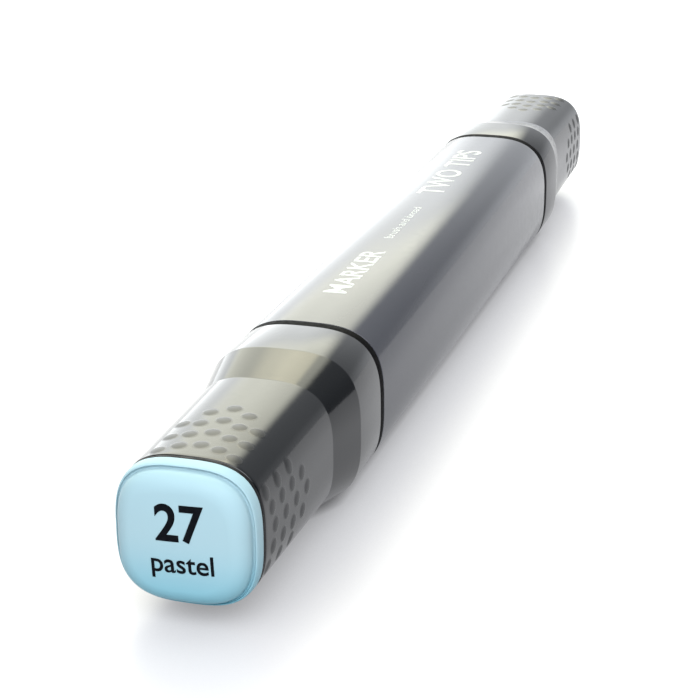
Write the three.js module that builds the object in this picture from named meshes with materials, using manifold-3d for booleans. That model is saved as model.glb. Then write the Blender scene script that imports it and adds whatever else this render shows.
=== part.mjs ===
// Twin-tip felt marker with a rounded-square barrel and a pull-off cap on each end, lying on one flat side.
// Millimetres, +Z up. The marker's axis runs along X: the brush end points to -X, the broad end to +X,
// and the origin is on the surface it lies on, under the middle of the whole marker.

import * as THREE from "three";
import { mergeVertices } from "three/addons/utils/BufferGeometryUtils.js";
import Module from "manifold-3d";

const wasm = await Module();
wasm.setup();

// ---- Driving dimensions ----

const BARREL_HALF = 7.8; // half the width across the barrel's flats
const BARREL_LENGTH = 77.2;
const SQUARENESS = 3.05; // exponent of the rounded square: 2 is a circle, large is a square
const SIDES = 32; // facets round every section
const SHELL_WALL = 1.2;
const REST = 0.05; // gap between faces that rest on each other
const SLIP = 0.1; // radial gap between pieces that fit inside each other

// Everything at an end is measured outwards from the barrel's end face.
const SEAM = 1.25; // black line between the barrel and a cap
const CAP_MOUTH = SEAM;
const COLLAR_END = 8; // the cap is as wide as the barrel up to here
const BAND_END = 13.65; // and has narrowed to the grip here
const CAP_END = 31.85;
const GRIP_HALF_BAND = 6.81; // the grip at the band
const GRIP_HALF_END = 6.6; // and at its end

const SPIGOT_HALF = 6.35; // rounded-square collar that the cap slides on
const SPIGOT_END = 5.5;
const SPIGOT_BORE_HALF = 6.5; // the cap's own inside, round the spigot
const SPIGOT_BEVEL = 0.3;
const BEAD_HEIGHT = 0.1; // snap bead round the spigot
const BEAD_MIDDLE = 3.05;
const BEAD_TOP_LENGTH = 0.3;
const BEAD_FOOT_LENGTH = 0.9;
const NECK_RADIUS = 4.65; // round neck that the inner cap seals on
const BRUSH_NECK_END = 10.5;
const BRUSH_FRONT_RADIUS = 3;
const BROAD_NECK_END = 11;
const BROAD_FRONT_RADIUS = 4.3;
const FRONT_START = 13; // the brush end's cone ends here
const FRONT_END = 14.5; // the nib comes out here
const FRONT_BEVEL = 0.3;
const HOLDER_DEPTH = 8; // length of the holder inside the barrel
const HOLDER_FLANGE_INSET = 0.03; // the black line lies this far below the barrel's surface
const HOLLOW_RADIUS = 5.4; // inside of the holder's outer wall
const HOLLOW_END = 3;

const LINER_MOUTH = 6.3;
const LINER_OUTER = 5.4;
const LINER_INNER = NECK_RADIUS + SLIP;
const LINER_FLOOR = 28; // inside of the inner cap's closed end
const LINER_FLOOR_THICKNESS = 0.8;
const LINER_FLANGE = 0.4; // black line between the cap and its plug
const LINER_FLANGE_HALF = GRIP_HALF_END - 0.02;
const CAP_BORE_HALF_BAND = GRIP_HALF_BAND - SHELL_WALL + SLIP; // the cap's inside at the band
const CAP_BORE_HALF_END = GRIP_HALF_END - SHELL_WALL + SLIP; // and at its end

const PLUG_START = CAP_END + LINER_FLANGE + 2 * REST;
const PLUG_SKIRT = 1.3; // length of the part as wide as the cap
const PLUG_PAD = 1.8; // height of the raised face
const PLUG_PAD_HALF = 6.1;
const PLUG_SKIRT_BEVEL = 0.25;
const PLUG_EDGE_STEPS = 4; // facets across the raised face's soft edge
const PLUG_EDGE_WIDTH = 1.6;
const PLUG_EDGE_DEPTH = 1.4;
const PLUG_STEM = 2.8;
const PLUG_STEM_WALL = 1;
const PLUG_FACE_THICKNESS = 1.45;
const CHIP_HALF = 4.9;
const CHIP_THICKNESS = 1;
const CHIP_BEVEL = 0.2;
const CHIP_RECESS = CHIP_THICKNESS + REST;
const END_WALL = 1.45;

const BRUSH_RADIUS = 1.9;
const BRUSH_SWELL = 0.15; // the brush is a little fatter just outside its holder
const BRUSH_TIP = 22.8;
const BRUSH_TAPER = 6; // length of the brush's pointed end
const BRUSH_TAPER_STEPS = 4;
const BROAD_WIDTH = 6.2;
const BROAD_THICKNESS = 3.4;
const BROAD_TIP = 21.5;
const BROAD_SLANT = 3.6;
const BROAD_BEVEL = 4.4;
const BROAD_EDGE = 1.6; // thickness left at the chisel's edge
const NIB_TAIL = 13.8; // how far a nib reaches back into the barrel
const NIB_TAIL_BEVEL = 1;
const CUT_PAST = 1; // how far a cutting solid runs past the face it cuts

const RESERVOIR_RADIUS = 5.75;
const RESERVOIR_LENGTH = 58;
const FILM_THICKNESS = 0.2;
const RIB_WIDTH = 1.2;

const BRUSH_END = PLUG_START + PLUG_SKIRT + PLUG_PAD;
const BROAD_END = CAP_END;
const OVERALL_LENGTH = BRUSH_END + BARREL_LENGTH + BROAD_END;
const BARREL_CENTRE_X = BRUSH_END + BARREL_LENGTH / 2 - OVERALL_LENGTH / 2;

// ---- Materials ----

const greyPlastic = new THREE.MeshStandardMaterial({ color: 0x35383a, roughness: 0.15, metalness: 0 });
const blackPlastic = new THREE.MeshStandardMaterial({ color: 0x161718, roughness: 0.45, metalness: 0 });
const linerPlastic = new THREE.MeshStandardMaterial({ color: 0x1b1c1e, roughness: 0.55, metalness: 0 });
const bluePlastic = new THREE.MeshStandardMaterial({ color: 0xa6d3e2, roughness: 0.35, metalness: 0 });
const reservoirFibre = new THREE.MeshStandardMaterial({ color: 0xdfeef3, roughness: 0.9, metalness: 0 });
const clearFilm = new THREE.MeshStandardMaterial({ color: 0xe8eef0, roughness: 0.2, metalness: 0 });
const nibFibre = new THREE.MeshStandardMaterial({ color: 0xb9dce8, roughness: 0.8, metalness: 0 });

// ---- Shape tools ----

// A solid turned about the X axis from [radius, distance along X] points. A profile that doesn't start and end
// on the axis closes on itself.
function turned(points, sides = SIDES) {
  const profile = points.map(([radius, along]) => new THREE.Vector2(radius, along));
  const onAxis = points[0][0] === 0;
  if (!onAxis) profile.push(profile[0].clone());
  const geometry = new THREE.LatheGeometry(profile, sides, Math.PI / sides);
  return geometry.rotateZ(-Math.PI / 2);
}

// The same, with each circle pressed out into a rounded square whose flats lie at the radius.
function squared(points) {
  const geometry = turned(points);
  const position = geometry.getAttribute("position");
  const power = 2 / SQUARENESS;
  const flat = Math.cos(Math.PI / SIDES) ** power;
  const press = (share) => (Math.sign(share) * Math.abs(share) ** power) / flat;
  for (let i = 0; i < position.count; i++) {
    const y = position.getY(i);
    const z = position.getZ(i);
    const radius = Math.hypot(y, z);
    if (radius > 0) position.setXYZ(i, position.getX(i), radius * press(y / radius), radius * press(z / radius));
  }
  return geometry;
}

// A box between two distances along X, with its width along Y and its height along Z.
function block(from, to, width, height, y = 0, z = 0) {
  return new THREE.BoxGeometry(to - from, width, height).translate((from + to) / 2, y, z);
}

// An outline of [distance along X, distance along Y] points, extruded along Z through the given thickness.
function plate(outline, thickness) {
  const shape = new THREE.Shape(outline.map(([x, y]) => new THREE.Vector2(x, y)));
  const geometry = new THREE.ExtrudeGeometry(shape, { depth: thickness, bevelEnabled: false });
  return geometry.translate(0, 0, -thickness / 2);
}

function solid(geometry) {
  const bare = geometry.clone().deleteAttribute("normal").deleteAttribute("uv");
  const merged = mergeVertices(bare, 1e-4);
  return new wasm.Manifold(
    new wasm.Mesh({
      numProp: 3,
      vertProperties: merged.getAttribute("position").array,
      triVerts: new Uint32Array(merged.index.array),
    }),
  );
}

function surface(body) {
  const { vertProperties, triVerts } = body.getMesh();
  const geometry = new THREE.BufferGeometry();
  geometry.setAttribute("position", new THREE.BufferAttribute(vertProperties, 3));
  geometry.setIndex(new THREE.BufferAttribute(triVerts, 1));
  geometry.computeVertexNormals();
  return geometry;
}

const join = (first, ...others) => surface(others.reduce((sum, other) => sum.add(solid(other)), solid(first)));
const cut = (first, ...others) => surface(others.reduce((rest, other) => rest.subtract(solid(other)), solid(first)));

// ---- Barrel and ink ----

function barrelShell() {
  const half = BARREL_LENGTH / 2;
  const inner = BARREL_HALF - SHELL_WALL;
  const tube = squared([
    [inner, -half],
    [BARREL_HALF, -half],
    [BARREL_HALF, half],
    [inner, half],
  ]);
  const ribReach = RESERVOIR_RADIUS + FILM_THICKNESS + SLIP;
  const ribHeight = inner + SHELL_WALL / 2 - ribReach;
  const ribAt = ribReach + ribHeight / 2;
  const ribEnd = RESERVOIR_LENGTH / 2;
  const ribs = [1, -1].flatMap((side) => [
    block(-ribEnd, ribEnd, ribHeight, RIB_WIDTH, side * ribAt, 0),
    block(-ribEnd, ribEnd, RIB_WIDTH, ribHeight, 0, side * ribAt),
  ]);
  return join(tube, ...ribs);
}

// A nib's hole or slot, from the back of the piece that it goes through to the front.
const brushBore = (from, to) =>
  turned([
    [0, from],
    [BRUSH_RADIUS + SLIP, from],
    [BRUSH_RADIUS + SLIP, to],
    [0, to],
  ]);
const broadBore = (from, to) => block(from, to, BROAD_WIDTH + 2 * SLIP, BROAD_THICKNESS + 2 * SLIP);

function inkReservoir() {
  const half = RESERVOIR_LENGTH / 2;
  const tail = BARREL_LENGTH / 2 - NIB_TAIL - 2 * SLIP;
  const core = turned([
    [0, -half],
    [RESERVOIR_RADIUS, -half],
    [RESERVOIR_RADIUS, half],
    [0, half],
  ]);
  return cut(core, brushBore(-half - CUT_PAST, -tail), broadBore(tail, half + CUT_PAST));
}

function reservoirFilm() {
  const half = RESERVOIR_LENGTH / 2 - REST;
  const inner = RESERVOIR_RADIUS + REST;
  const outer = RESERVOIR_RADIUS + FILM_THICKNESS;
  return turned([
    [inner, -half],
    [outer, -half],
    [outer, half],
    [inner, half],
  ]);
}

// ---- Nib holders and nibs ----

// The part of a holder that both ends share: the plug in the barrel, the flange that shows as a black line,
// and the spigot with its snap bead.
function holderBase() {
  const flangeHalf = BARREL_HALF - HOLDER_FLANGE_INSET;
  const plugHalf = BARREL_HALF - SHELL_WALL - SLIP;
  const beadHalf = SPIGOT_HALF + BEAD_HEIGHT;
  return squared([
    [0, -HOLDER_DEPTH],
    [plugHalf, -HOLDER_DEPTH],
    [plugHalf, REST],
    [flangeHalf, REST],
    [flangeHalf, SEAM - REST],
    [SPIGOT_HALF, SEAM - REST],
    [SPIGOT_HALF, BEAD_MIDDLE - BEAD_FOOT_LENGTH / 2],
    [beadHalf, BEAD_MIDDLE - BEAD_TOP_LENGTH / 2],
    [beadHalf, BEAD_MIDDLE + BEAD_TOP_LENGTH / 2],
    [SPIGOT_HALF, BEAD_MIDDLE + BEAD_FOOT_LENGTH / 2],
    [SPIGOT_HALF, SPIGOT_END - SPIGOT_BEVEL],
    [SPIGOT_HALF - SPIGOT_BEVEL, SPIGOT_END],
    [0, SPIGOT_END],
  ]);
}

// The hollow behind a holder's neck, between the nib's tube and the outer wall.
function holderHollow(tubeRadius) {
  return turned([
    [tubeRadius, -HOLDER_DEPTH - CUT_PAST],
    [HOLLOW_RADIUS, -HOLDER_DEPTH - CUT_PAST],
    [HOLLOW_RADIUS, HOLLOW_END],
    [tubeRadius, HOLLOW_END],
  ]);
}

// The round neck, which starts inside the spigot and narrows to the front that the nib comes out of.
function holderNeck(neckEnd, frontRadius, frontStart) {
  return turned([
    [0, HOLLOW_END + CUT_PAST],
    [NECK_RADIUS, HOLLOW_END + CUT_PAST],
    [NECK_RADIUS, neckEnd],
    [frontRadius, frontStart],
    [frontRadius, FRONT_END - FRONT_BEVEL],
    [frontRadius - FRONT_BEVEL, FRONT_END],
    [0, FRONT_END],
  ]);
}

function brushNibHolder() {
  const neck = holderNeck(BRUSH_NECK_END, BRUSH_FRONT_RADIUS, FRONT_START);
  const bore = brushBore(-HOLDER_DEPTH - CUT_PAST, FRONT_END + CUT_PAST);
  return cut(join(holderBase(), neck), bore, holderHollow(BRUSH_FRONT_RADIUS));
}

function broadNibHolder() {
  const neck = holderNeck(BROAD_NECK_END, BROAD_FRONT_RADIUS, BROAD_NECK_END + 1);
  const slot = broadBore(-HOLDER_DEPTH - CUT_PAST, FRONT_END + CUT_PAST);
  return cut(join(holderBase(), neck), slot, holderHollow(BROAD_FRONT_RADIUS));
}

// A round fibre stick whose end narrows along a quarter of a cosine to the brush's point.
function brushNib() {
  const swollen = BRUSH_RADIUS + BRUSH_SWELL;
  const taperStart = BRUSH_TIP - BRUSH_TAPER;
  const taper = Array.from({ length: BRUSH_TAPER_STEPS }, (_, step) => {
    const share = step / BRUSH_TAPER_STEPS;
    return [swollen * Math.cos((share * Math.PI) / 2), taperStart + share * BRUSH_TAPER];
  });
  return turned([
    [0, -NIB_TAIL],
    [BRUSH_RADIUS - NIB_TAIL_BEVEL, -NIB_TAIL],
    [BRUSH_RADIUS, -NIB_TAIL + NIB_TAIL_BEVEL],
    [BRUSH_RADIUS, FRONT_END + REST],
    ...taper,
    [0, BRUSH_TIP],
  ]);
}

// A flat fibre bar, cut on a slant across its width and bevelled to a chisel edge across its thickness.
function broadNib() {
  const half = BROAD_WIDTH / 2;
  const width = plate(
    [
      [-NIB_TAIL, -half + NIB_TAIL_BEVEL],
      [-NIB_TAIL + NIB_TAIL_BEVEL, -half],
      [BROAD_TIP - BROAD_SLANT, -half],
      [BROAD_TIP, half],
      [-NIB_TAIL + NIB_TAIL_BEVEL, half],
      [-NIB_TAIL, half - NIB_TAIL_BEVEL],
    ],
    BROAD_THICKNESS,
  );
  const deep = BROAD_THICKNESS / 2;
  const edge = BROAD_EDGE / 2;
  const thickness = plate(
    [
      [-NIB_TAIL - CUT_PAST, -deep],
      [BROAD_TIP - BROAD_BEVEL, -deep],
      [BROAD_TIP, -edge],
      [BROAD_TIP, edge],
      [BROAD_TIP - BROAD_BEVEL, deep],
      [-NIB_TAIL - CUT_PAST, deep],
    ],
    BROAD_WIDTH + 2 * CUT_PAST,
  ).rotateX(Math.PI / 2);
  return surface(solid(width).intersect(solid(thickness)));
}

// ---- Caps ----

const capOutside = [
  [BARREL_HALF, CAP_MOUTH],
  [BARREL_HALF, COLLAR_END],
  [GRIP_HALF_BAND, BAND_END],
  [GRIP_HALF_END, CAP_END],
];

// Both caps are hollow alike, from the given depth out to the mouth.
const capInside = (depth) => [
  [CAP_BORE_HALF_END, depth],
  [CAP_BORE_HALF_BAND, BAND_END],
  [SPIGOT_BORE_HALF, LINER_MOUTH],
  [SPIGOT_BORE_HALF, CAP_MOUTH],
];

function brushCapShell() {
  return squared([...capOutside, ...capInside(CAP_END)]);
}

function broadCapShell() {
  const recess = CAP_END - CHIP_RECESS;
  const floor = recess - END_WALL;
  return squared([
    [0, floor],
    ...capInside(floor),
    ...capOutside,
    [CHIP_HALF + SLIP, CAP_END],
    [CHIP_HALF + SLIP, recess],
    [0, recess],
  ]);
}

// A sealing thimble that slides over a holder's neck.
function innerCap() {
  return turned([
    [0, LINER_FLOOR],
    [LINER_INNER, LINER_FLOOR],
    [LINER_INNER, LINER_MOUTH],
    [LINER_OUTER, LINER_MOUTH],
    [LINER_OUTER, LINER_FLOOR + LINER_FLOOR_THICKNESS],
    [0, LINER_FLOOR + LINER_FLOOR_THICKNESS],
  ]);
}

// The brush end's thimble also has a socket behind its floor, where the plug's stem goes in, and a flange that
// is clamped between the cap and the plug.
function brushInnerCap() {
  const flangeStart = CAP_END + REST;
  const flangeEnd = flangeStart + LINER_FLANGE;
  const behind = LINER_FLOOR + LINER_FLOOR_THICKNESS;
  const back = turned([
    [0, LINER_FLOOR + SLIP],
    [LINER_OUTER, LINER_FLOOR + SLIP],
    [LINER_OUTER, flangeEnd],
    [0, flangeEnd],
  ]);
  const flange = squared([
    [0, flangeStart],
    [LINER_FLANGE_HALF, flangeStart],
    [LINER_FLANGE_HALF, flangeEnd],
    [0, flangeEnd],
  ]);
  const socket = turned([
    [0, behind],
    [LINER_INNER, behind],
    [LINER_INNER, flangeEnd + CUT_PAST],
    [0, flangeEnd + CUT_PAST],
  ]);
  return cut(join(innerCap(), back, flange), socket);
}

// The coloured plug: a skirt as wide as the cap, a raised face with a soft edge, and a hollow stem.
function brushCapPlug() {
  const shelf = PLUG_START + PLUG_SKIRT;
  const stemOuter = LINER_INNER - SLIP;
  const stemStart = PLUG_START - PLUG_STEM;
  const softEdge = Array.from({ length: PLUG_EDGE_STEPS + 1 }, (_, step) => {
    const turn = ((step / PLUG_EDGE_STEPS) * Math.PI) / 2;
    const inwards = PLUG_EDGE_WIDTH * (1 - Math.cos(turn));
    const outwards = PLUG_EDGE_DEPTH * Math.sin(turn);
    return [PLUG_PAD_HALF - inwards, BRUSH_END - PLUG_EDGE_DEPTH + outwards];
  });
  const head = squared([
    [0, PLUG_START],
    [GRIP_HALF_END, PLUG_START],
    [GRIP_HALF_END, shelf - PLUG_SKIRT_BEVEL],
    [GRIP_HALF_END - PLUG_SKIRT_BEVEL, shelf],
    [PLUG_PAD_HALF, shelf],
    ...softEdge,
    [0, BRUSH_END],
  ]);
  const stem = turned([
    [0, stemStart],
    [stemOuter, stemStart],
    [stemOuter, PLUG_START + CUT_PAST],
    [0, PLUG_START + CUT_PAST],
  ]);
  const hollow = turned([
    [0, stemStart - CUT_PAST],
    [stemOuter - PLUG_STEM_WALL, stemStart - CUT_PAST],
    [stemOuter - PLUG_STEM_WALL, BRUSH_END - PLUG_FACE_THICKNESS],
    [0, BRUSH_END - PLUG_FACE_THICKNESS],
  ]);
  return cut(join(head, stem), hollow);
}

function broadCapChip() {
  return squared([
    [0, CAP_END - CHIP_THICKNESS],
    [CHIP_HALF, CAP_END - CHIP_THICKNESS],
    [CHIP_HALF, CAP_END - CHIP_BEVEL],
    [CHIP_HALF - CHIP_BEVEL, CAP_END],
    [0, CAP_END],
  ]);
}

// ---- Assembly ----

function piece(name, geometry, material) {
  const mesh = new THREE.Mesh(geometry, material);
  mesh.name = name;
  return mesh;
}

const barrel = new THREE.Group();
barrel.add(
  piece("barrel_shell", barrelShell(), greyPlastic),
  piece("ink_reservoir", inkReservoir(), reservoirFibre),
  piece("reservoir_film", reservoirFilm(), clearFilm),
);

const brushEnd = new THREE.Group();
brushEnd.position.x = -BARREL_LENGTH / 2;
brushEnd.rotation.z = Math.PI;
brushEnd.add(
  piece("brush_nib_holder", brushNibHolder(), blackPlastic),
  piece("brush_nib", brushNib(), nibFibre),
  piece("brush_cap_shell", brushCapShell(), greyPlastic),
  piece("brush_inner_cap", brushInnerCap(), linerPlastic),
  piece("brush_cap_plug", brushCapPlug(), bluePlastic),
);

const broadEnd = new THREE.Group();
broadEnd.position.x = BARREL_LENGTH / 2;
broadEnd.add(
  piece("broad_nib_holder", broadNibHolder(), blackPlastic),
  piece("broad_nib", broadNib(), nibFibre),
  piece("broad_cap_shell", broadCapShell(), greyPlastic),
  piece("broad_inner_cap", innerCap(), linerPlastic),
  piece("broad_cap_chip", broadCapChip(), bluePlastic),
);

const marker = new THREE.Group();
marker.position.set(BARREL_CENTRE_X, 0, BARREL_HALF);
marker.add(barrel, brushEnd, broadEnd);

export default marker;
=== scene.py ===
"""A twin-tip felt marker lying on a pale surface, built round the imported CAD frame.

Metres, +Z up, with the marker's axis along X.
"""

import math

import bmesh
import bpy
import numpy as np
from mathutils import Matrix, Vector


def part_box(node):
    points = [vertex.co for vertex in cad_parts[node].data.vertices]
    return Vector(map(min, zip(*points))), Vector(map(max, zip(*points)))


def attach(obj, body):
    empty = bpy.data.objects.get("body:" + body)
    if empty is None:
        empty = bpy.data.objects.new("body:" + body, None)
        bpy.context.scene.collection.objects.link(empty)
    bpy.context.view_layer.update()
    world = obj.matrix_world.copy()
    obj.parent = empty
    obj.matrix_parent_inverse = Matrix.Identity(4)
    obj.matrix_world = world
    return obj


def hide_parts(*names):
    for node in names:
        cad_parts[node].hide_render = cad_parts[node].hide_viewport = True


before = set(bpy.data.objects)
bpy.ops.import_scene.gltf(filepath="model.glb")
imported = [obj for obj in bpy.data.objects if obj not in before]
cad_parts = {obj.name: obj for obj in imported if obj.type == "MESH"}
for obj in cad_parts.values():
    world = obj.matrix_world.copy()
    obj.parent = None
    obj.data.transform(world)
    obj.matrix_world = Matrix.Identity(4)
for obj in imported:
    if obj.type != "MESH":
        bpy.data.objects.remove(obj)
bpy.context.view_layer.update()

MM = 0.001

# ---- Where things are, from the frame ----

barrel_low, barrel_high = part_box("barrel_shell")
plug_low, plug_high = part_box("brush_cap_plug")
AXIS_Z = (barrel_low[2] + barrel_high[2]) / 2
BARREL_HALF = (barrel_high[2] - barrel_low[2]) / 2
BARREL_LENGTH = barrel_high[0] - barrel_low[0]
BARREL_MIDDLE = (barrel_low[0] + barrel_high[0]) / 2
GRIP_HALF_END = (plug_high[2] - plug_low[2]) / 2
CAP_MOUTH = barrel_low[0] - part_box("brush_cap_shell")[1][0]
CAP_END = barrel_low[0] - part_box("brush_cap_shell")[0][0]
BRUSH_END = barrel_low[0] - plug_low[0]

# ---- Dimensions that the frame doesn't name, in metres, outwards from the barrel's end face ----

SQUARENESS = 3.05  # exponent of the rounded-square sections
ROUND = 2  # the same exponent for a circle
EDGE_EASE = 0.06 * MM  # radius of the small rounding on outer edges
COLLAR_END = 8 * MM
BAND_END = 13.65 * MM
GRIP_HALF_BAND = 6.81 * MM
WALL = 1.2 * MM
BARREL_EASE = 0.014 * MM  # how much under size the barrel is, so that its print stays inside the frame
SPIGOT_HALF = 6.35 * MM
SPIGOT_END = 5.5 * MM
BEAD_MIDDLE = 3.05 * MM
BEAD_HEIGHT = 0.1 * MM
HOLDER_DEPTH = 8 * MM
SEAM_INSET = 0.03 * MM
NECK_RADIUS = 4.65 * MM
FRONT_END = 14.5 * MM
BRUSH_RADIUS = 1.9 * MM
BRUSH_SWELL = 0.15 * MM
BRUSH_TIP = 22.8 * MM
BRUSH_TAPER = 6 * MM
BROAD_HALF_WIDTH = 3.1 * MM
BROAD_HALF_THICKNESS = 1.7 * MM
BROAD_TIP = 21.5 * MM
BROAD_SLANT = 3.6 * MM
BROAD_BEVEL = 4.4 * MM
BROAD_EDGE_HALF = 0.8 * MM
NIB_TAIL = 13.8 * MM
NIB_GAP = 0.1 * MM
CAP_BORE_HALF = 6.5 * MM
CAP_BORE_HALF_BAND = 5.71 * MM
CAP_BORE_HALF_END = 5.5 * MM
LINER_MOUTH = 6.3 * MM
LINER_OUTER = 5.4 * MM
LINER_INNER = 4.75 * MM
LINER_FLOOR = 28 * MM
LINER_BACK = 28.8 * MM
LINER_FLANGE_START = CAP_END + 0.05 * MM
LINER_FLANGE_END = CAP_END + 0.45 * MM
PLUG_START = CAP_END + 0.5 * MM
PLUG_SHELF = PLUG_START + 1.3 * MM
PLUG_PAD_HALF = 6.08 * MM
PLUG_STEM_RADIUS = 4.65 * MM
PLUG_STEM_START = PLUG_START - 2.8 * MM
PLUG_FACE = BRUSH_END - 0.03 * MM
CHIP_HALF = 4.9 * MM
CHIP_BOTTOM = CAP_END - 1.0 * MM
BROAD_RECESS = CAP_END - 1.05 * MM
BROAD_FLOOR = BROAD_RECESS - 1.45 * MM

# Raised dots on each face of the grip, in mm: (distance off the face's centre line, first dot, pitch,
# number of dots), with the distances along the cap measured back from the plug's tip.
DOT_COLUMNS = (
    (0.0, 6.1, 2.75, 4),
    (1.85, 5.55, 2.53, 4),
    (3.5, 4.75, 2.9, 3),
)
DOT_RADIUS = 0.82 * MM
DOT_HEIGHT = 0.065 * MM
DOTTED_START = BRUSH_END - 16 * MM
DOTTED_END = BRUSH_END - 4 * MM
DOTTED_STEP = 0.14 * MM

# ---- Meshes lofted from rounded-square sections ----


def even_angles(count):
    """Polar angles of points at even steps round a rounded square, with a facet centred on each flat."""
    angle = np.linspace(-math.pi, math.pi, 20001)
    spread = np.abs(np.cos(angle)) ** SQUARENESS + np.abs(np.sin(angle)) ** SQUARENESS
    radius = 1 / spread ** (1 / SQUARENESS)
    points = np.stack([radius * np.cos(angle), radius * np.sin(angle)], axis=1)
    length = np.concatenate([[0], np.cumsum(np.linalg.norm(np.diff(points, axis=0), axis=1))])
    return np.interp((np.arange(count) + 0.5) / count * length[-1], length, angle)


def rounded(corners, closed, steps=6):
    """The (distance, half width) points of a profile, with an arc at each corner that has a radius."""
    points = []
    count = len(corners)
    for i, (x, y, radius) in enumerate(corners):
        here = np.array([x, y])
        if radius == 0 or (not closed and i in (0, count - 1)):
            points.append((x, y))
            continue
        before = np.array(corners[i - 1][:2]) - here
        after = np.array(corners[(i + 1) % count][:2]) - here
        before /= np.linalg.norm(before)
        after /= np.linalg.norm(after)
        half_angle = math.acos(float(np.clip(before @ after, -1, 1))) / 2
        reach = radius / math.tan(half_angle)
        middle = (before + after) / np.linalg.norm(before + after)
        centre = here + middle * radius / math.sin(half_angle)
        first = here + before * reach - centre
        last = here + after * reach - centre
        turn = math.pi - 2 * half_angle
        for step in range(steps + 1):
            share = step / steps
            a = math.sin((1 - share) * turn) / math.sin(turn)
            b = math.sin(share * turn) / math.sin(turn)
            points.append(tuple(centre + a * first + b * last))
    return points


def stepped(points, low, high, step):
    """The same profile with extra points, so that no stretch between low and high is longer than step."""
    result = []
    for (x0, y0), (x1, y1) in zip(points, points[1:]):
        cuts = [x0]
        if abs(x1 - x0) > step:
            inside = np.arange(max(min(x0, x1), low), min(max(x0, x1), high), step)
            inside = [x for x in inside if min(x0, x1) + step / 4 < x < max(x0, x1) - step / 4]
            cuts += list(inside if x1 > x0 else inside[::-1])
        result += [(x, y0 + (y1 - y0) * (x - x0) / (x1 - x0) if x1 != x0 else y0) for x in cuts]
    return result + [points[-1]]


def loft(name, sections, closed, angles):
    """A closed mesh through (distance, half width, half height, exponent) sections about the X axis."""
    vertices = []
    rings = []
    for x, half_y, half_z, power in sections:
        if half_y == 0:
            rings.append([len(vertices)])
            vertices.append((x, 0.0, 0.0))
            continue
        cos, sin = np.cos(angles), np.sin(angles)
        radius = 1 / (np.abs(cos) ** power + np.abs(sin) ** power) ** (1 / power)
        rings.append(list(range(len(vertices), len(vertices) + len(angles))))
        vertices += [(x, half_y * r * c, half_z * r * s) for r, c, s in zip(radius, cos, sin)]
    faces = []
    pairs = list(zip(rings, rings[1:]))
    if closed:
        pairs.append((rings[-1], rings[0]))
    count = len(angles)
    for a, b in pairs:
        for i in range(count):
            j = (i + 1) % count
            if len(a) == 1:
                faces.append((a[0], b[j], b[i]))
            elif len(b) == 1:
                faces.append((a[i], a[j], b[0]))
            else:
                faces.append((a[i], a[j], b[j], b[i]))
    mesh = bpy.data.meshes.new(name)
    mesh.from_pydata(vertices, [], faces)
    return mesh


def squared(profile, power=SQUARENESS):
    """The sections, as wide as they are high, of a (distance, half width) profile."""
    return [(x, half, half, power) for x, half in profile]


def coordinates(mesh):
    """The mesh's points as an array with one row each."""
    points = np.empty(len(mesh.vertices) * 3)
    mesh.vertices.foreach_get("co", points)
    return points.reshape(-1, 3)


def place(mesh, origin_x, direction):
    """Turns a mesh made outwards from a barrel end face to point along direction, and puts it there."""
    points = coordinates(mesh)
    points[:, 0] = origin_x + direction * points[:, 0]
    points[:, 1] *= direction
    points[:, 2] += AXIS_Z
    mesh.vertices.foreach_set("co", points.ravel())


def face_outwards(mesh):
    """Turns every face over if the mesh's signed volume is negative."""
    mesh.calc_loop_triangles()
    points = coordinates(mesh)
    corners = points[np.array([t.vertices for t in mesh.loop_triangles])]
    if np.einsum("ij,ij->i", corners[:, 0], np.cross(corners[:, 1], corners[:, 2])).sum() < 0:
        mesh.flip_normals()


def finished(mesh, material, crease=32):
    """An object of the mesh, smooth apart from edges sharper than crease degrees."""
    face_outwards(mesh)
    mesh.polygons.foreach_set("use_smooth", [True] * len(mesh.polygons))
    mesh.set_sharp_from_angle(angle=math.radians(crease))
    mesh.materials.append(material)
    obj = bpy.data.objects.new(mesh.name, mesh)
    bpy.context.scene.collection.objects.link(obj)
    return obj


# ---- Materials ----

NOISE_LOW, NOISE_HIGH = 0.35, 0.65  # the span that most of a noise texture's values fall in
MIX_COLOUR_A, MIX_COLOUR_B, MIX_COLOUR_RESULT = 6, 7, 2  # sockets of a Mix node that is set to colours
DOT_ROUGHNESS = 0.42
POLISH_RIPPLE = 0.0025 * MM
SPARK_TEXTURE = 0.008 * MM
DRAG_LINES = 0.006 * MM
FELT_NAP = 0.04 * MM
RESERVOIR_NAP = 0.05 * MM
FILM_CRINKLE = 0.03 * MM
# Heights of the blue plastic's painted shade and painted light: deepest below the first, palest above the
# second.
PAINTED_SHADE_BELOW = AXIS_Z - 8 * MM
PAINTED_LIGHT_ABOVE = AXIS_Z + 1 * MM


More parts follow.
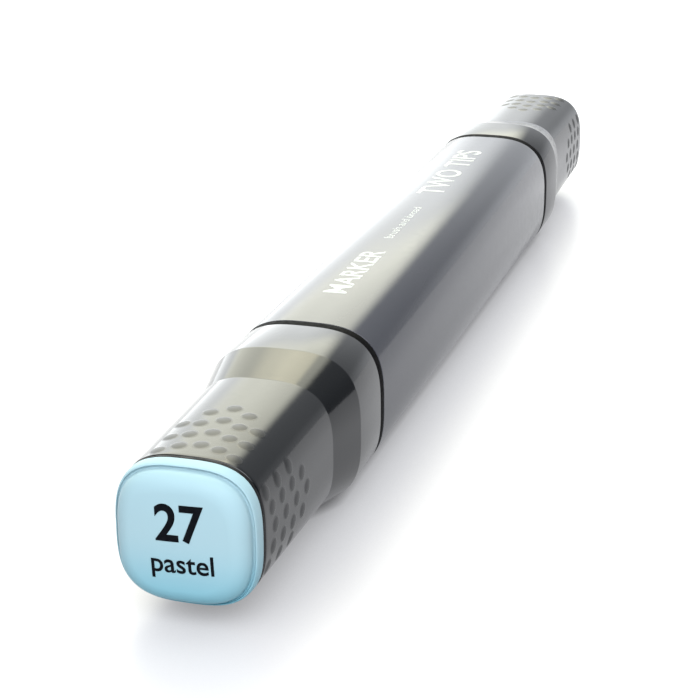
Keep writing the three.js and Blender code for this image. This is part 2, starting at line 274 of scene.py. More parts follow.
class Nodes:
    """A material's node tree, with short ways to add and join nodes."""

    def __init__(self, name):
        self.material = bpy.data.materials.new(name)
        self.material.use_nodes = True
        self.tree = self.material.node_tree
        self.shader = self.tree.nodes["Principled BSDF"]

    def add(self, kind, **values):
        """A new node with the given properties and constants. An underscore stands for a space in a name."""
        node = self.tree.nodes.new(kind)
        for key, value in values.items():
            if hasattr(node, key):
                setattr(node, key, value)
            else:
                node.inputs[key.replace("_", " ")].default_value = value
        return node

    def join(self, source, target):
        """Links one socket to another."""
        self.tree.links.new(source, target)

    def constant(self, **values):
        """Sets the shader's own sockets."""
        for key, value in values.items():
            self.shader.inputs[key.replace("_", " ")].default_value = value

    def noise(self, scale, detail=3.0, stretch=(1, 1, 1)):
        """Noise in the object's own metres, so scale is in cycles per metre."""
        place_node = self.add("ShaderNodeTexCoord")
        mapping = self.add("ShaderNodeMapping", Scale=stretch)
        noise = self.add("ShaderNodeTexNoise", Scale=scale, Detail=detail)
        self.join(place_node.outputs["Object"], mapping.inputs["Vector"])
        self.join(mapping.outputs["Vector"], noise.inputs["Vector"])
        return noise.outputs["Fac"]

    def ramp(self, source, low, high, target):
        """Maps noise between two values and feeds it to a socket."""
        spread = self.add(
            "ShaderNodeMapRange",
            From_Min=NOISE_LOW,
            From_Max=NOISE_HIGH,
            To_Min=low,
            To_Max=high,
        )
        self.join(source, spread.inputs["Value"])
        self.join(spread.outputs["Result"], target)

    def tint(self, source, first, second):
        """Mixes two colours by noise into the base colour."""
        ramp = self.add("ShaderNodeValToRGB")
        ramp.color_ramp.elements[0].position = NOISE_LOW
        ramp.color_ramp.elements[1].position = NOISE_HIGH
        ramp.color_ramp.elements[0].color = (*first, 1)
        ramp.color_ramp.elements[1].color = (*second, 1)
        self.join(source, ramp.inputs["Fac"])
        self.join(ramp.outputs["Color"], self.shader.inputs["Base Color"])

    def bump(self, source, distance):
        """Raises the surface by up to distance where the source is high."""
        bump = self.add("ShaderNodeBump", Strength=1.0, Distance=distance)
        self.join(source, bump.inputs["Height"])
        self.join(bump.outputs["Normal"], self.shader.inputs["Normal"])


def cap_plastic():
    """Polished dark plastic with faint flow marks and ripple; the raised dots on it have a matt texture."""
    nodes = Nodes("cap_plastic")
    nodes.constant(IOR=1.46)
    nodes.tint(nodes.noise(180, 4, (0.25, 1, 1)), (0.003, 0.0038, 0.005), (0.005, 0.0058, 0.007))
    dots = nodes.add("ShaderNodeAttribute", attribute_name="dots")
    gloss = nodes.add("ShaderNodeMix")
    gloss.inputs["B"].default_value = DOT_ROUGHNESS
    nodes.ramp(nodes.noise(900, 5), 0.10, 0.14, gloss.inputs["A"])
    nodes.join(dots.outputs["Fac"], gloss.inputs["Factor"])
    nodes.join(gloss.outputs["Result"], nodes.shader.inputs["Roughness"])
    nodes.bump(nodes.noise(2600, 2), POLISH_RIPPLE)
    return nodes.material


def barrel_plastic():
    """The barrel's plastic, a lighter and cooler grey than the caps': painted reflection, standing in for
    the brighter surround the barrel reflects further back.
    """
    nodes = Nodes("barrel_plastic")
    nodes.constant(IOR=1.47)
    # Painted reflection: this base colour is lighter and cooler than the caps' to stand in for brighter
    # reflections along the barrel.
    nodes.tint(nodes.noise(180, 4, (0.25, 1, 1)), (0.036, 0.038, 0.048), (0.040, 0.042, 0.052))
    nodes.ramp(nodes.noise(900, 5), 0.11, 0.16, nodes.shader.inputs["Roughness"])
    nodes.bump(nodes.noise(2600, 2), POLISH_RIPPLE)
    return nodes.material


def blue_plastic():
    """Satin pale blue plastic, paler higher up with painted light and deeper in colour towards its lower
    edge with painted shade.
    """
    nodes = Nodes("blue_plastic")
    nodes.constant(IOR=1.5, Specular_IOR_Level=0.06)
    place_node = nodes.add("ShaderNodeTexCoord")
    parts = nodes.add("ShaderNodeSeparateXYZ")
    height = nodes.add("ShaderNodeMapRange", interpolation_type="SMOOTHSTEP")
    height.inputs["From Min"].default_value = PAINTED_SHADE_BELOW
    height.inputs["From Max"].default_value = PAINTED_LIGHT_ABOVE
    # Painted shade and painted light: the deeper blue is painted low down and the paler blue high up.
    colour = nodes.add("ShaderNodeMix", data_type="RGBA")
    colour.inputs[MIX_COLOUR_A].default_value = (0.14, 0.365, 0.455, 1)
    colour.inputs[MIX_COLOUR_B].default_value = (0.293, 0.43, 0.48, 1)
    nodes.join(place_node.outputs["Object"], parts.inputs["Vector"])
    nodes.join(parts.outputs["Z"], height.inputs["Value"])
    nodes.join(height.outputs["Result"], colour.inputs["Factor"])
    nodes.join(colour.outputs[MIX_COLOUR_RESULT], nodes.shader.inputs["Base Color"])
    nodes.ramp(nodes.noise(1200, 4), 0.29, 0.32, nodes.shader.inputs["Roughness"])
    return nodes.material


def black_plastic():
    """Fine spark-eroded matt black plastic."""
    nodes = Nodes("black_plastic")
    nodes.constant(IOR=1.49, Specular_IOR_Level=0.03)
    nodes.tint(nodes.noise(500, 3), (0.0016, 0.0016, 0.0018), (0.0032, 0.0032, 0.0036))
    nodes.ramp(nodes.noise(2500, 4), 0.55, 0.68, nodes.shader.inputs["Roughness"])
    nodes.bump(nodes.noise(9000, 2), SPARK_TEXTURE)
    return nodes.material


def seal_plastic():
    """Softer black plastic with drag lines along the way it slides."""
    nodes = Nodes("seal_plastic")
    nodes.constant(IOR=1.48, Specular_IOR_Level=0.1)
    nodes.tint(nodes.noise(300, 3), (0.004, 0.004, 0.0045), (0.008, 0.008, 0.009))
    nodes.ramp(nodes.noise(1500, 4, (0.1, 1, 1)), 0.45, 0.6, nodes.shader.inputs["Roughness"])
    nodes.bump(nodes.noise(3000, 3, (0.05, 1, 1)), DRAG_LINES)
    return nodes.material


def nib_fibre():
    """Felt fibre stained by ink: lines along the fibre, darker where the ink gathers."""
    nodes = Nodes("nib_fibre")
    nodes.constant(Roughness=0.9, IOR=1.4, Sheen_Weight=0.3, Sheen_Roughness=0.5)
    nodes.tint(nodes.noise(2200, 5, (0.08, 1, 1)), (0.24, 0.52, 0.66), (0.50, 0.75, 0.83))
    nodes.bump(nodes.noise(6000, 5, (0.05, 1, 1)), FELT_NAP)
    return nodes.material


def reservoir_fibre():
    """Bonded fibre soaked with ink, paler where it has dried."""
    nodes = Nodes("reservoir_fibre")
    nodes.constant(Roughness=0.95, IOR=1.4)
    nodes.tint(nodes.noise(400, 6, (0.15, 1, 1)), (0.34, 0.62, 0.74), (0.75, 0.88, 0.92))
    nodes.bump(nodes.noise(4000, 5, (0.05, 1, 1)), RESERVOIR_NAP)
    return nodes.material


def clear_film():
    """Thin crinkled film."""
    nodes = Nodes("clear_film")
    nodes.constant(IOR=1.5, Alpha=0.35)
    nodes.tint(nodes.noise(300, 3), (0.80, 0.85, 0.87), (0.9, 0.93, 0.94))
    nodes.ramp(nodes.noise(700, 4), 0.08, 0.2, nodes.shader.inputs["Roughness"])
    nodes.bump(nodes.noise(900, 4, (0.3, 1, 1)), FILM_CRINKLE)
    return nodes.material


def white_print():
    """Pad-printed white ink, thin enough that its density varies a little."""
    nodes = Nodes("white_print")
    nodes.constant(IOR=1.45)
    nodes.tint(nodes.noise(1800, 4), (0.40, 0.43, 0.42), (0.46, 0.49, 0.48))
    nodes.ramp(nodes.noise(2500, 3), 0.4, 0.5, nodes.shader.inputs["Roughness"])
    return nodes.material


def black_print():
    """Matt pad-printed black ink."""
    nodes = Nodes("black_print")
    nodes.constant(IOR=1.45, Specular_IOR_Level=0.04)
    nodes.tint(nodes.noise(1800, 4), (0.002, 0.0025, 0.004), (0.004, 0.005, 0.007))
    nodes.ramp(nodes.noise(2500, 3), 0.4, 0.5, nodes.shader.inputs["Roughness"])
    return nodes.material


CAP_GREY = cap_plastic()
BARREL_GREY = barrel_plastic()
BLUE = blue_plastic()
BLACK = black_plastic()
SEAL = seal_plastic()
FIBRE = nib_fibre()
WHITE_INK = white_print()
BLACK_INK = black_print()

ANGLES = even_angles(192)
CAP_ANGLES = even_angles(320)

BRUSH = (barrel_low[0], -1)
BROAD = (barrel_high[0], 1)


def stand_for(obj, body, slot, *nodes):
    """Joins a finished piece to the frame."""
    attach(obj, body)
    if nodes:
        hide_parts(*nodes)
    return obj


# ---- Barrel ----


def barrel():
    """A straight tube with slightly eased outer edges."""
    inner = BARREL_HALF - WALL
    outer = BARREL_HALF - BARREL_EASE
    half = BARREL_LENGTH / 2
    profile = rounded(
        [
            (-half, inner, 0),
            (-half, outer, EDGE_EASE),
            (half, outer, EDGE_EASE),
            (half, inner, 0),
        ],
        closed=True,
    )
    mesh = loft("barrel_body", squared(profile), True, ANGLES)
    place(mesh, BARREL_MIDDLE, 1)
    stand_for(finished(mesh, BARREL_GREY), "barrel", "grey_plastic", "barrel_shell")


# ---- Caps ----


def cap_outside():
    """The outer (distance, half width, corner radius) corners of either cap, from its mouth to its end."""
    return [
        (CAP_MOUTH, BARREL_HALF, EDGE_EASE),
        (COLLAR_END, BARREL_HALF, 1.2 * MM),
        (BAND_END, GRIP_HALF_BAND, 1.2 * MM),
        (CAP_END, GRIP_HALF_END, 0.12 * MM),
    ]


def cap_inside(depth):
    """The (distance, half width, corner radius) corners of a cap's bore, from depth back to its mouth."""
    return [
        (depth, CAP_BORE_HALF_END, 0.2 * MM),
        (BAND_END, CAP_BORE_HALF_BAND, 1 * MM),
        (LINER_MOUTH, CAP_BORE_HALF, 1 * MM),
        (CAP_MOUTH, CAP_BORE_HALF, 0.15 * MM),
    ]


def dot_centres():
    """(distance along the cap, distance off the centre line) of every raised dot on one face."""
    for off, first, pitch, count in DOT_COLUMNS:
        for side in (1, -1) if off else (1,):
            for i in range(count):
                yield BRUSH_END - (first + i * pitch) * MM, side * off * MM


def raise_dots(mesh):
    """Lifts the grip's surface into low domes, alike on all four faces, before the mesh is placed."""
    points = coordinates(mesh)
    outside = np.maximum(np.abs(points[:, 1]), np.abs(points[:, 2])) > CAP_BORE_HALF_BAND + 0.3 * MM
    texture = np.zeros(len(points))
    for across, out in ((1, 2), (2, 1)):
        on_face = outside & (np.abs(points[:, out]) > np.abs(points[:, across]))
        lift = np.zeros(len(points))
        for along, off in dot_centres():
            gap = np.hypot(points[:, 0] - along, points[:, across] - off) / DOT_RADIUS
            lift = np.maximum(lift, np.clip(1 - gap**2, 0, 1) ** 1.4)
        points[:, out] += np.where(on_face, np.sign(points[:, out]) * lift * DOT_HEIGHT, 0)
        texture += np.where(on_face, np.clip(lift * 4, 0, 1), 0)
    mesh.vertices.foreach_set("co", points.ravel())
    mesh.attributes.new("dots", "FLOAT", "POINT").data.foreach_set("value", texture)


def brush_cap():
    """The brush end's cap shell, open at both ends: the plug closes it."""
    profile = rounded(cap_outside() + cap_inside(CAP_END), closed=True)
    profile = stepped(profile + profile[:1], DOTTED_START, DOTTED_END, DOTTED_STEP)[:-1]
    mesh = loft("brush_cap", squared(profile), True, CAP_ANGLES)
    raise_dots(mesh)
    place(mesh, *BRUSH)
    stand_for(finished(mesh, CAP_GREY), "brush_cap", "grey_plastic", "brush_cap_shell")


def broad_cap():
    """The broad end's cap shell, with a closed end that is recessed for the chip."""
    corners = cap_outside() + [
        (CAP_END, CHIP_HALF + 0.1 * MM, 0),
        (BROAD_RECESS, CHIP_HALF + 0.1 * MM, 0),
    ]
    profile = [(BROAD_FLOOR, 0)] + rounded(cap_inside(BROAD_FLOOR) + corners, closed=False)
    profile = stepped(profile + [(BROAD_RECESS, 0)], DOTTED_START, DOTTED_END, DOTTED_STEP)
    mesh = loft("broad_cap", squared(profile), False, CAP_ANGLES)
    raise_dots(mesh)
    place(mesh, *BROAD)
    stand_for(finished(mesh, CAP_GREY), "broad_cap", "grey_plastic", "broad_cap_shell")


# ---- Plug and chip ----

PAD_EDGE_WIDTH = 1.6 * MM
PAD_EDGE_DEPTH = 1.4 * MM
PAD_CROWN = 0.28 * MM
SKIRT_DEPTH = 0.22 * MM
GROOVE_DEPTH = 0.06 * MM
GROOVE_LIP = 0.05 * MM


def pad_face(half):
    """How far out the raised face is, where it is this half width: flat, then a soft edge."""
    inwards = (half - (PLUG_PAD_HALF - PAD_EDGE_WIDTH)) / PAD_EDGE_WIDTH
    drop = PAD_EDGE_DEPTH * (1 - math.sqrt(max(0.0, 1 - inwards**2))) if inwards > 0 else 0.0
    return PLUG_FACE - drop - PAD_CROWN * (half / PLUG_PAD_HALF) ** 2


def plug():
    """The end plug: a round stem, a rounded skirt, a narrow groove and a raised face with a soft edge."""
    stem = [
        (PLUG_STEM_START, PLUG_STEM_RADIUS - 1 * MM, 0),
        (PLUG_STEM_START, PLUG_STEM_RADIUS, 0.2 * MM),
        (PLUG_START, PLUG_STEM_RADIUS, 0),
    ]
    skirt = [(PLUG_START, PLUG_STEM_RADIUS + 0.1 * MM), (PLUG_START, GRIP_HALF_END - EDGE_EASE)]
    skirt_length = PLUG_SHELF - PLUG_START - EDGE_EASE
    for i in range(17):
        turn = math.pi / 2 * i / 16
        along = skirt_length * math.sin(turn)
        half = GRIP_HALF_END - SKIRT_DEPTH * (1 - math.cos(turn))
        skirt.append((PLUG_START + EDGE_EASE + along, half))
    lip_half = GRIP_HALF_END - SKIRT_DEPTH
    bottom_radius = (lip_half - GROOVE_LIP - PLUG_PAD_HALF) / 2
    for i in range(1, 7):
        turn = math.pi / 2 * i / 6
        along = PLUG_SHELF - GROOVE_LIP * (1 - math.cos(turn))
        skirt.append((along, lip_half - GROOVE_LIP * math.sin(turn)))
    for i in range(13):
        turn = math.pi * i / 12
        along = PLUG_SHELF - GROOVE_DEPTH - bottom_radius * math.sin(turn)
        skirt.append((along, PLUG_PAD_HALF + bottom_radius * (1 + math.cos(turn))))
    steps = 18
    halves = []
    for i in range(steps + 1):
        halves.append(PLUG_PAD_HALF - PAD_EDGE_WIDTH * (1 - math.cos(math.pi / 2 * i / steps)))
    halves += [(PLUG_PAD_HALF - PAD_EDGE_WIDTH) * share for share in (0.85, 0.7, 0.55, 0.4, 0.25, 0.12)]
    face = [(pad_face(half), half) for half in halves] + [(PLUG_FACE, 0)]
    inside = BRUSH_END - 1.45 * MM
    sections = [(inside, 0, 0, ROUND), (inside, PLUG_STEM_RADIUS - 1 * MM, PLUG_STEM_RADIUS - 1 * MM, ROUND)]
    sections += squared(rounded(stem, closed=False), ROUND)
    sections += squared(skirt + face)
    mesh = loft("brush_plug", sections, False, CAP_ANGLES)
    place(mesh, *BRUSH)
    stand_for(finished(mesh, BLUE, 50), "brush_cap", "blue_plastic", "brush_cap_plug")


def chip():
    """A flat coloured tile let into the closed cap's end."""
    corners = [
        (CHIP_BOTTOM, 0, 0),
        (CHIP_BOTTOM, CHIP_HALF, 0.1 * MM),
        (CAP_END, CHIP_HALF, 0.3 * MM),
        (CAP_END, CHIP_HALF * 0.6, 0),
        (CAP_END, 0, 0),
    ]
    mesh = loft("broad_chip", squared(rounded(corners, closed=False)), False, ANGLES)
    place(mesh, *BROAD)
    stand_for(finished(mesh, BLUE), "broad_cap", "blue_plastic", "broad_cap_chip")


# ---- Nib holders, nibs and inner caps ----


def holder_base():
    """The (distance, half width, corner radius) corners that both holders share, with the snap bead."""
    plug_half = BARREL_HALF - WALL - 0.1 * MM
    seam_half = BARREL_HALF - SEAM_INSET
    return [
        (-HOLDER_DEPTH, plug_half, 0.3 * MM),
        (0.05 * MM, plug_half, 0),
        (0.05 * MM, seam_half, 0.05 * MM),
        (CAP_MOUTH - 0.05 * MM, seam_half, 0.05 * MM),
        (CAP_MOUTH - 0.05 * MM, SPIGOT_HALF, 0.1 * MM),
        (BEAD_MIDDLE - 0.45 * MM, SPIGOT_HALF, 0.2 * MM),
        (BEAD_MIDDLE, SPIGOT_HALF + BEAD_HEIGHT, 0.3 * MM),
        (BEAD_MIDDLE + 0.45 * MM, SPIGOT_HALF, 0.2 * MM),
        (SPIGOT_END, SPIGOT_HALF, 0.35 * MM),
        (SPIGOT_END, NECK_RADIUS + 0.2 * MM, 0),
    ]


def holder(name, node, side, neck, bore):
    """A holder with a round neck of the given corners, and a hole of the given half sizes and exponent."""
    hole_y, hole_z, power = bore
    front = neck[-1][0]
    sections = [(-HOLDER_DEPTH, hole_y, hole_z, power)]
    sections += squared(rounded([(-HOLDER_DEPTH, NECK_RADIUS, 0)] + holder_base(), closed=False))
    sections += squared(rounded([(SPIGOT_END, NECK_RADIUS, 0)] + neck, closed=False), ROUND)
    sections += [(front, hole_y, hole_z, power)]
    mesh = loft(name, sections, True, ANGLES)
    place(mesh, *side)
    stand_for(finished(mesh, BLACK), "barrel", "black_plastic", node)


def brush_holder():
    """The holder whose neck narrows to the round nib."""
    neck = [
        (10.5 * MM, NECK_RADIUS, 0.6 * MM),
        (13 * MM, 3 * MM, 0.5 * MM),
        (FRONT_END, 3 * MM, 0.3 * MM),
        (FRONT_END, BRUSH_RADIUS + NIB_GAP + 0.1 * MM, 0),
    ]
    bore = (BRUSH_RADIUS + NIB_GAP, BRUSH_RADIUS + NIB_GAP, ROUND)
    holder("brush_holder", "brush_nib_holder", BRUSH, neck, bore)


def broad_holder():
    """The holder whose wider neck has a flat slot for the chisel nib."""
    neck = [
        (11 * MM, NECK_RADIUS, 0.4 * MM),
        (12 * MM, 4.3 * MM, 0.4 * MM),
        (FRONT_END, 4.3 * MM, 0.35 * MM),
        (FRONT_END, 3.6 * MM, 0),
    ]
    bore = (BROAD_HALF_WIDTH + NIB_GAP, BROAD_HALF_THICKNESS + NIB_GAP, 14)
    holder("broad_holder", "broad_nib_holder", BROAD, neck, bore)


def brush():
    """A round fibre stick, a little swollen outside its holder, that narrows to a brush's point."""
    swollen = BRUSH_RADIUS + BRUSH_SWELL
    start = BRUSH_TIP - BRUSH_TAPER
    profile = [
        (-NIB_TAIL, 0),
        (-NIB_TAIL, 0.9 * MM),
        (-NIB_TAIL + 1 * MM, BRUSH_RADIUS),
        (FRONT_END, BRUSH_RADIUS),
        (FRONT_END + 0.5 * MM, BRUSH_RADIUS + 0.6 * BRUSH_SWELL),
        (FRONT_END + 1.2 * MM, swollen),
    ]
    for i in range(24):
        share = i / 24
        profile.append((start + share * BRUSH_TAPER, swollen * math.cos(share * math.pi / 2)))
    profile.append((BRUSH_TIP, 0))
    mesh = loft("brush_tip", squared(profile, ROUND), False, ANGLES)
    place(mesh, *BRUSH)
    stand_for(finished(mesh, FIBRE, 50), "barrel", "nib_fibre", "brush_nib")


def broad():
    """A flat fibre bar with a chisel edge, cut on a slant across its width."""
    bevel = BROAD_TIP - BROAD_BEVEL
    power = 9
    wide, deep, thin = BROAD_HALF_WIDTH, BROAD_HALF_THICKNESS, BROAD_EDGE_HALF
    sections = [
        (-NIB_TAIL, 0, 0, power),
        (-NIB_TAIL, wide - 1 * MM, deep - 0.5 * MM, power),
        (-NIB_TAIL + 1 * MM, wide, deep, power),
        (FRONT_END, wide, deep, power),
        (bevel - 0.4 * MM, wide, deep, power),
        (bevel, wide, deep - 0.03 * MM, power),
        (BROAD_TIP - 0.25 * MM, wide, thin + 0.05 * MM, power),
        (BROAD_TIP - 0.07 * MM, wide - 0.07 * MM, thin - 0.05 * MM, power),
        (BROAD_TIP, wide - 0.25 * MM, thin - 0.2 * MM, power),
        (BROAD_TIP, 0, 0, power),
    ]
    mesh = loft("broad_tip", sections, False, ANGLES)
    for vertex in mesh.vertices:
        past = vertex.co.x - FRONT_END
        if past > 0:
            shorter = BROAD_SLANT * (0.5 - vertex.co.y / (2 * wide)) / (BROAD_TIP - FRONT_END)
            vertex.co.x = FRONT_END + past * (1 - shorter)
    place(mesh, *BROAD)
    stand_for(finished(mesh, FIBRE, 50), "barrel", "nib_fibre", "broad_nib")


def thimble(name, node, body, side, back):
    """An inner cap: a round thimble whose closed end goes on into the given back sections."""
    corners = [
        (LINER_FLOOR, 0, 0),
        (LINER_FLOOR, LINER_INNER, 0.5 * MM),
        (LINER_MOUTH, LINER_INNER, 0.2 * MM),
        (LINER_MOUTH, LINER_OUTER, 0.2 * MM),
        (LINER_BACK, LINER_OUTER, 0),
    ]
    sections = squared(rounded(corners, closed=False)[:-1], ROUND)
    mesh = loft(name, sections + back, False, ANGLES)
    place(mesh, *side)
    stand_for(finished(mesh, SEAL), body, "seal_plastic", node)


def brush_thimble():
    """The brush end's thimble has the flange that shows as a black line, and a socket for the plug."""
    flange_half = GRIP_HALF_END - 0.02 * MM
    flange = [
        (LINER_FLANGE_START, LINER_OUTER - 0.3 * MM, 0),
        (LINER_FLANGE_START, flange_half, 0.05 * MM),
        (LINER_FLANGE_END, flange_half, 0.05 * MM),
        (LINER_FLANGE_END, LINER_INNER + 0.2 * MM, 0),
    ]
    back = [(LINER_FLANGE_START - 0.02 * MM, LINER_OUTER - 0.3 * MM, LINER_OUTER - 0.3 * MM, ROUND)]
    back += squared(rounded(flange, closed=False))
    back += squared([(LINER_FLANGE_END, LINER_INNER), (LINER_BACK, LINER_INNER), (LINER_BACK, 0)], ROUND)
    thimble("brush_thimble", "brush_inner_cap", "brush_cap", BRUSH, back)


def broad_thimble():
    """The broad end's thimble is closed by a plain round floor."""
    corners = [(LINER_FLOOR, LINER_OUTER, 0), (LINER_BACK, LINER_OUTER, 0.3 * MM), (LINER_BACK, 0, 0)]
    back = squared(rounded(corners, closed=False), ROUND)
    thimble("broad_thimble", "broad_inner_cap", "broad_cap", BROAD, back)


# ---- Print ----


def font_word(text, weight):
    """A word in the built-in font as a closed solid between depth 0 and 1, with its baseline at 0."""
    curve = bpy.data.curves.new("word", "FONT")
    curve.body = text
    curve.extrude = 0.5
    curve.offset = weight
    curve.resolution_u = 6
    obj = bpy.data.objects.new("word", curve)
    bpy.context.scene.collection.objects.link(obj)
    shape = bmesh.new()
    mesh = bpy.data.meshes.new_from_object(obj.evaluated_get(bpy.context.evaluated_depsgraph_get()))
    shape.from_mesh(mesh)
    bpy.data.meshes.remove(mesh)
    bpy.data.objects.remove(obj)
    bpy.data.curves.remove(curve)
    bmesh.ops.remove_doubles(shape, verts=shape.verts, dist=0.0005)
    bmesh.ops.translate(shape, verts=shape.verts, vec=(0, 0, 0.5))
    return shape


def fitted(shape, left, width, baseline, scale_y):
    """Moves and scales a word so that it starts at left and is as wide as given."""
    low = min(v.co.x for v in shape.verts)
    high = max(v.co.x for v in shape.verts)
    for vertex in shape.verts:
        vertex.co.x = left + (vertex.co.x - low) * width / (high - low)
        vertex.co.y = baseline + vertex.co.y * scale_y
    return shape


def capital_height():
    """How high the built-in font's capitals are, in its own units."""
    shape = font_word("H", 0)
    height = max(v.co.y for v in shape.verts)
    shape.free()
    return height


CAPITAL = capital_height()
PRINT_TILT = math.radians(2)

# How far the outer side of the print stands out of the surface, and how thick the print is, in mm
PLUG_PRINT_TOP, PLUG_PRINT_THICKNESS = 0.02, 0.05
BARREL_PRINT_TOP, BARREL_PRINT_THICKNESS = 0.012, 0.04
PLUG_PRINT_STEP = 0.4
BARREL_PRINT_STEP = 0.8

# Words as (text, extra stroke weight, left end, width, baseline, capital height), in mm
PLUG_WORDS = (
    ("27", 0.02, -2.0, 4.5, 0.3, 3.2),
    ("pastel", 0.012, -2.6, 5.7, -2.7, 1.75),
)
BARREL_WORDS = (
    ("MARKER", 0.014, -27.6, 15.0, -0.9, 2.4),
    ("brush and broad", 0.0, -7.6, 12.8, -0.2, 1.0),
    ("TWO TIPS", 0.014, 11.2, 21.5, -0.9, 3.0),
)


def words(rows):
    """Every row's word as a closed solid in its place."""
    return [
        fitted(font_word(text, weight), left, width, baseline, height / CAPITAL)
        for text, weight, left, width, baseline, height in rows
    ]


def joined(name, shapes, step, move):
    """One mesh of all the shapes, cut into faces up to step wide, with each point sent through move."""
    mesh = bpy.data.meshes.new(name)
    whole = bmesh.new()
    for shape in shapes:
        for axis in (0, 1):
            low = min(v.co[axis] for v in shape.verts)
            high = max(v.co[axis] for v in shape.verts)
            for cut in np.arange(low + step, high - step / 4, step):
                across = Vector([1.0 if i == axis else 0.0 for i in range(3)])
                everything = shape.verts[:] + shape.edges[:] + shape.faces[:]
                bmesh.ops.bisect_plane(shape, geom=everything, plane_co=across * cut, plane_no=across)
        shape.to_mesh(mesh)
        whole.from_mesh(mesh)
        shape.free()
    for vertex in whole.verts:
        vertex.co = move(*vertex.co)
    whole.to_mesh(mesh)
    whole.free()
    return mesh


def plug_print():
    """A number and a plain word, printed on the plug in lines that rise a little to the right."""

    def on_face(x, y, depth):
        across = (x * math.cos(PRINT_TILT) - y * math.sin(PRINT_TILT)) * MM
        up = (x * math.sin(PRINT_TILT) + y * math.cos(PRINT_TILT)) * MM
        half = (abs(across) ** SQUARENESS + abs(up) ** SQUARENESS) ** (1 / SQUARENESS)
        along = pad_face(half) + (PLUG_PRINT_TOP - PLUG_PRINT_THICKNESS * depth) * MM
        return BRUSH[0] - along, -across, AXIS_Z + up

    mesh = joined("plug_print", words(PLUG_WORDS), PLUG_PRINT_STEP, on_face)
    stand_for(finished(mesh, BLACK_INK), "brush_cap", "black_plastic")


def barrel_print():
    """Plain words printed in white along the barrel's upper face."""

    def on_top(x, y, depth):
        outer = BARREL_HALF - BARREL_EASE
        share = (1 - (abs(y) * MM / outer) ** SQUARENESS) ** (1 / SQUARENESS)
        raised = (BARREL_PRINT_TOP - BARREL_PRINT_THICKNESS * depth) * MM
        return x * MM, y * MM, AXIS_Z + outer * share + raised

    mesh = joined("barrel_print", words(BARREL_WORDS), BARREL_PRINT_STEP, on_top)
    stand_for(finished(mesh, WHITE_INK), "barrel", "grey_plastic")


barrel()
brush_cap()
broad_cap()
plug()
chip()
brush_holder()
broad_holder()
brush()
broad()
brush_thimble()
broad_thimble()
plug_print()
barrel_print()

# The ink store, which lies out of sight in the barrel, keeps its CAD shape.
for node, material in (("ink_reservoir", reservoir_fibre()), ("reservoir_film", clear_film())):
    for material_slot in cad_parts[node].material_slots:
        material_slot.material = material

# ---- Floor, light and camera ----


FLOOR_SIZE = 6
FLOOR_DROP = 0.02 * MM  # keeps the floor from lying in the same plane as the marker's lowest faces
# The floor's glow is painted light, and its dimming near an object is a painted shadow.
FLOOR_GLOWS = ((0.0011, 0.25), (0.015, 0.64))  # (metres within which an object dims it, strength)


def floor():
    """A pale satin surface that glows a little with painted light, as if lit from all round, with a painted
    shadow where the glow dims close to the object.
    """
    bpy.ops.mesh.primitive_plane_add(size=FLOOR_SIZE, location=(0, 0, -FLOOR_DROP))
    plane = bpy.context.object
    plane.name = "floor"
    nodes = Nodes("floor_white")
    nodes.constant(Roughness=0.35, IOR=1.45, Emission_Color=(0.965, 0.97, 1.0, 1))
    nodes.tint(nodes.noise(6, 2), (0.058, 0.06, 0.064), (0.062, 0.064, 0.068))
    # Painted shadow: ambient occlusion dims the painted glow close to the object.
    both = nodes.add("ShaderNodeMath", operation="ADD")
    for i, (distance, strength) in enumerate(FLOOR_GLOWS):
        near = nodes.add("ShaderNodeAmbientOcclusion", samples=12)
        near.inputs["Distance"].default_value = distance
        part = nodes.add("ShaderNodeMath", operation="MULTIPLY")
        part.inputs[1].default_value = strength
        nodes.join(near.outputs["AO"], part.inputs[0])
        nodes.join(part.outputs[0], both.inputs[i])
    nodes.join(both.outputs[0], nodes.shader.inputs["Emission Strength"])
    plane.data.materials.append(nodes.material)


class Sky:
    """The surround's brightness by direction, summed from tinted parts."""

    def __init__(self):
        world = bpy.data.worlds.new("studio")
        bpy.context.scene.world = world
        world.use_nodes = True
        self.tree = world.node_tree
        self.tree.nodes.remove(self.tree.nodes["Background"])
        place_node = self.tree.nodes.new("ShaderNodeTexCoord")
        self.way = place_node.outputs["Generated"]
        self.total = None

    def fade(self, axis, dark, light, top=1.0, smooth=True):
        """Rises from 0 to top as the direction's share along axis goes from dark to light."""
        dot = self.tree.nodes.new("ShaderNodeVectorMath")
        dot.operation = "DOT_PRODUCT"
        dot.inputs[1].default_value = axis
        self.tree.links.new(self.way, dot.inputs[0])
        spread = self.tree.nodes.new("ShaderNodeMapRange")
        spread.interpolation_type = "SMOOTHSTEP" if smooth else "LINEAR"
        spread.inputs["From Min"].default_value = dark
        spread.inputs["From Max"].default_value = light
        spread.inputs["To Max"].default_value = top
        self.tree.links.new(dot.outputs["Value"], spread.inputs["Value"])
        return spread.outputs["Result"]

    def combine(self, operation, *values):
        """Joins sockets or plain numbers by one operation, from first to last."""
        result = values[0]
        for value in values[1:]:
            node = self.tree.nodes.new("ShaderNodeMath")
            node.operation = operation
            for socket, source in zip(node.inputs, (result, value)):
                if isinstance(source, (int, float)):
                    socket.default_value = source
                else:
                    self.tree.links.new(source, socket)
            result = node.outputs[0]
        return result

    def add(self, tint, strength):
        """Adds one tinted part of the given strength to the surround."""
        background = self.tree.nodes.new("ShaderNodeBackground")
        background.inputs["Color"].default_value = (*tint, 1)
        self.tree.links.new(strength, background.inputs["Strength"])
        shader = background.outputs[0]
        if self.total:
            both = self.tree.nodes.new("ShaderNodeAddShader")
            self.tree.links.new(self.total, both.inputs[0])
            self.tree.links.new(shader, both.inputs[1])
            shader = both.outputs[0]
        self.total = shader
        self.tree.links.new(shader, self.tree.nodes["World Output"].inputs["Surface"])


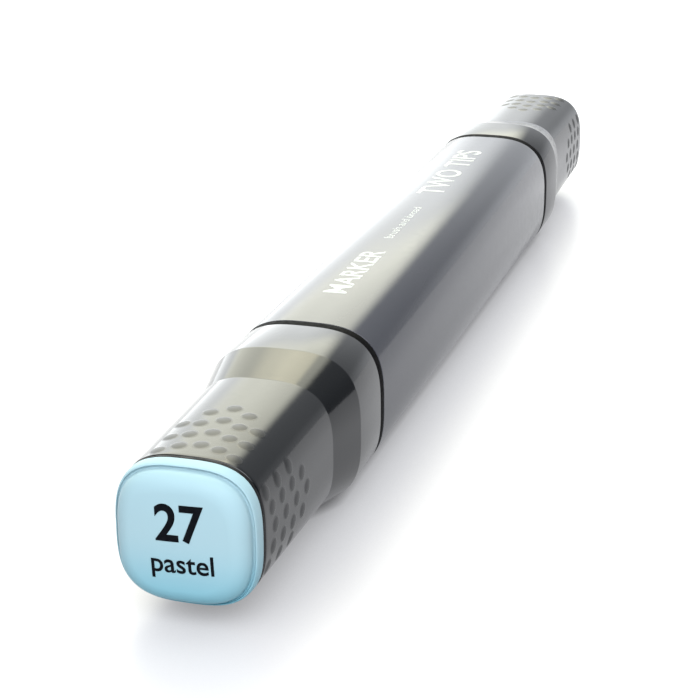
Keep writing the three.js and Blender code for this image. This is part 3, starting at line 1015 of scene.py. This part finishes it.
def studio():
    """A soft-box, warmer high up, and a warm lamp behind on the left, and a wall that dims to the right."""
    sky = Sky()
    up, left, back = (0, 0, 1), (0, 1, 0), (1, 0, 0)
    behind = sky.fade(back, 0.0, 0.35)
    window = sky.combine(
        "MULTIPLY",
        sky.fade((0, 1, 0.68), 0.23, 0.44),
        sky.fade((0, 1, 0.5), 1.0, 0.75),
        behind,
    )
    sky.add((0.97, 1.0, 0.98), sky.combine("MULTIPLY", window, 1.8))
    low_left = sky.combine("MULTIPLY", window, sky.fade(left, 0.2, 0.42, 0.7), sky.fade(up, 0.40, 0.33))
    sky.add((0.97, 1.0, 1.0), low_left)
    sky.add((1.0, 0.975, 0.68), sky.combine("MULTIPLY", window, sky.fade(up, 0.29, 0.39, 1.95)))
    sky.add(
        (1.0, 0.92, 0.62),
        sky.combine(
            "MULTIPLY",
            sky.fade(left, 0.0, 0.1, 3.2),
            sky.fade(left, 0.40, 0.28),
            sky.fade(up, 0.54, 0.64),
            behind,
        ),
    )
    level = sky.combine("SUBTRACT", 0.85, sky.fade(up, 0.2, 0.8, 0.6))
    wall = sky.combine("MULTIPLY", sky.fade(left, -0.75, -0.1, smooth=False), level)
    low = sky.combine("MULTIPLY", sky.fade(up, 0.22, 0.02, 0.5), sky.fade(left, -0.7, -0.3))
    sky.add(
        (0.93, 0.96, 1.0),
        sky.combine("MULTIPLY", sky.combine("ADD", wall, low, 0.15), sky.fade(back, -0.2, 0.05)),
    )


LAMP_WIDTH, LAMP_HEIGHT = 0.85, 0.6
LAMP_POWER = 10.5
LAMP_AZIMUTH, LAMP_ELEVATION = math.radians(196), math.radians(45)
LAMP_DISTANCE = 0.72


def front_light():
    """A large soft light in front of the brush end and well above it."""
    data = bpy.data.lights.new("front_light", "AREA")
    data.shape = "RECTANGLE"
    data.size = LAMP_WIDTH
    data.size_y = LAMP_HEIGHT
    data.energy = LAMP_POWER
    data.color = (0.95, 0.97, 1.0)
    light = bpy.data.objects.new("front_light", data)
    bpy.context.scene.collection.objects.link(light)
    level = math.cos(LAMP_ELEVATION)
    way = Vector((level * math.cos(LAMP_AZIMUTH), level * math.sin(LAMP_AZIMUTH), math.sin(LAMP_ELEVATION)))
    spot = way * LAMP_DISTANCE
    light.location = spot
    light.rotation_euler = (-spot).to_track_quat("-Z", "Y").to_euler()


CAMERA_PLACE = (-207.7, -57.9, 79.8)  # mm
CAMERA_WAY = (0.894, 0.2806, -0.3493)
CAMERA_ROLL = math.radians(-0.54)
SENSOR_WIDTH = 36
LENS = 99.2


def camera():
    """A long lens above and in front of the plug, looking down along the marker."""
    data = bpy.data.cameras.new("camera")
    data.sensor_width = SENSOR_WIDTH
    data.lens = LENS
    data.clip_start = 0.01
    obj = bpy.data.objects.new("camera", data)
    bpy.context.scene.collection.objects.link(obj)
    forward = Vector(CAMERA_WAY).normalized()
    level = forward.cross(Vector((0, 0, 1))).normalized()
    upright = level.cross(forward)
    right = level * math.cos(CAMERA_ROLL) + upright * math.sin(CAMERA_ROLL)
    up = right.cross(forward)
    turn = Matrix((right, up, -forward)).transposed().to_4x4()
    obj.matrix_world = Matrix.Translation(Vector(CAMERA_PLACE) * MM) @ turn
    bpy.context.scene.camera = obj


floor()
studio()
front_light()
camera()
bpy.context.scene.view_settings.view_transform = "Standard"
